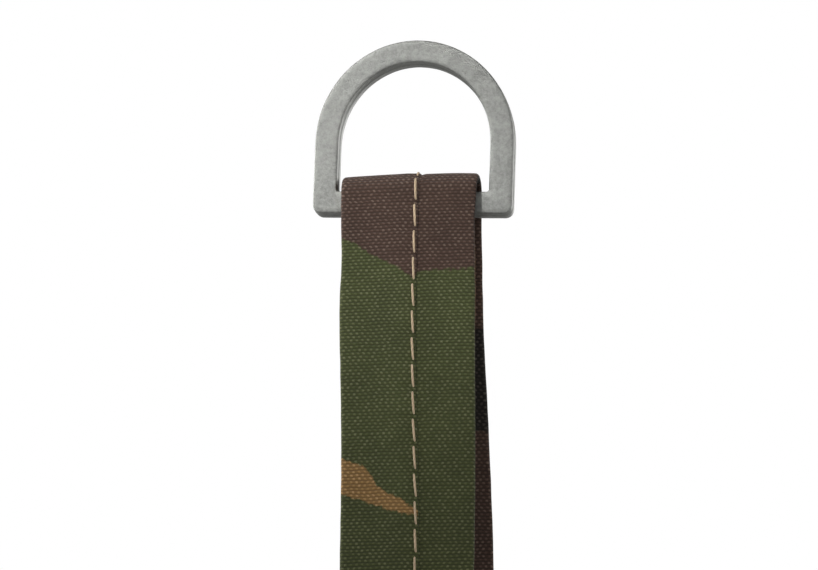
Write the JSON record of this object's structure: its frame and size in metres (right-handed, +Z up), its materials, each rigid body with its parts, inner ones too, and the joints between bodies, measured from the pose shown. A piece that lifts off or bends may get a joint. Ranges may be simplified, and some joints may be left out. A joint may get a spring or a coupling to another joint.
{
  "type": "training bumper",
  "caption": "Soft cylindrical training bumper: a foam-filled canvas roll hanging from a folded canvas strap loop and a cast metal D-ring.",
  "frame": {"origin": "inner top of the D-ring's opening, where a hook carries the bumper, at the middle of the ring's thickness", "axes": "+Z up along the hanging bumper, X along the ring's straight bar, -Y the bumper's front"},
  "size_m": [0.0782, 0.0782, 0.4861],
  "materials": {
    "cast_zinc": "matte tumbled grey zinc alloy",
    "camo_canvas": "matte plain-weave cotton canvas printed in brown, green and tan",
    "thread": "matte tan bonded thread",
    "liner": "grey waterproof film",
    "foam": "cream closed-cell foam"
  },
  "bodies": {
    "ring": {"d_ring": "cast_zinc"},
    "strap": {"strap_loop": "camo_canvas", "strap_seam_stitching": "thread", "strap_front_root": "camo_canvas", "strap_back_root": "camo_canvas"},
    "roll": {"strap_front_foot": "camo_canvas", "strap_back_foot": "camo_canvas", "foot_box_stitching": "thread", "anchor_patch": "camo_canvas", "patch_edge_stitching": "thread", "backing_patch": "camo_canvas", "top_end_panel": "camo_canvas", "bottom_end_panel": "camo_canvas", "top_piping": "camo_canvas", "bottom_piping": "camo_canvas", "side_cover": "camo_canvas", "cover_seam_flap": "camo_canvas", "seam_stitching_left": "thread", "seam_stitching_right": "thread", "top_row_stitching": "thread", "bottom_row_stitching": "thread", "core_liner": "liner", "foam_core": "foam"}
  },
  "joints": [
    {"name": "ring_pivot", "type": "hinge", "parent": "ring", "child": "strap", "pos_m": [0, 0, -0.0269], "axis": [1, 0, 0], "range_deg": [-145, 145]},
    {"name": "loop_bend", "type": "hinge", "parent": "strap", "child": "roll", "pos_m": [0, 0, -0.1729], "axis": [1, 0, 0], "range_deg": [-70, 70], "deforming": ["strap_front_root", "strap_back_root"]}
  ]
}
